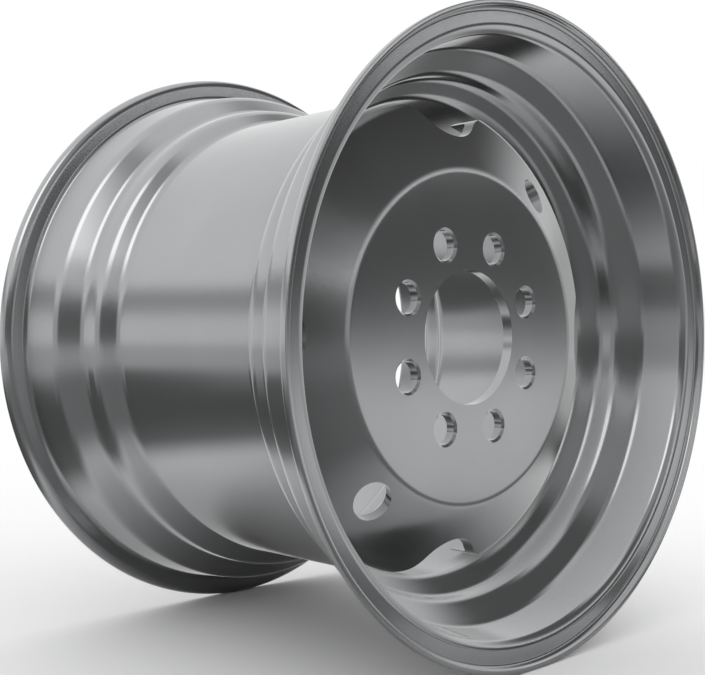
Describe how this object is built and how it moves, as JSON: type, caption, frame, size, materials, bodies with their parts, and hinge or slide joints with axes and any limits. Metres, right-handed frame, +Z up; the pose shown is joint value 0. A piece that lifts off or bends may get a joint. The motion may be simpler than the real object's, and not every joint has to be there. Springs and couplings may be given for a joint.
{
  "type": "tractor wheel",
  "caption": "Bare steel tractor wheel: a stepped drop-centre rim with rolled flanges, and a dished disc with scalloped edge, hub bore, stud holes and hand holes.",
  "frame": {"origin": "the wheel's centre: on the axle line, midway between the two flanges", "axes": "+Y along the axle towards the tractor, so the outer side of the disc faces -Y; +Z up"},
  "size_m": [0.6603, 0.4844, 0.6604],
  "materials": {
    "rim_steel": "satin",
    "disc_steel": "satin",
    "weld_metal": "satin"
  },
  "bodies": {
    "root": {"rim": "rim_steel", "disc": "disc_steel", "disc_weld": "weld_metal"}
  },
  "joints": []
}
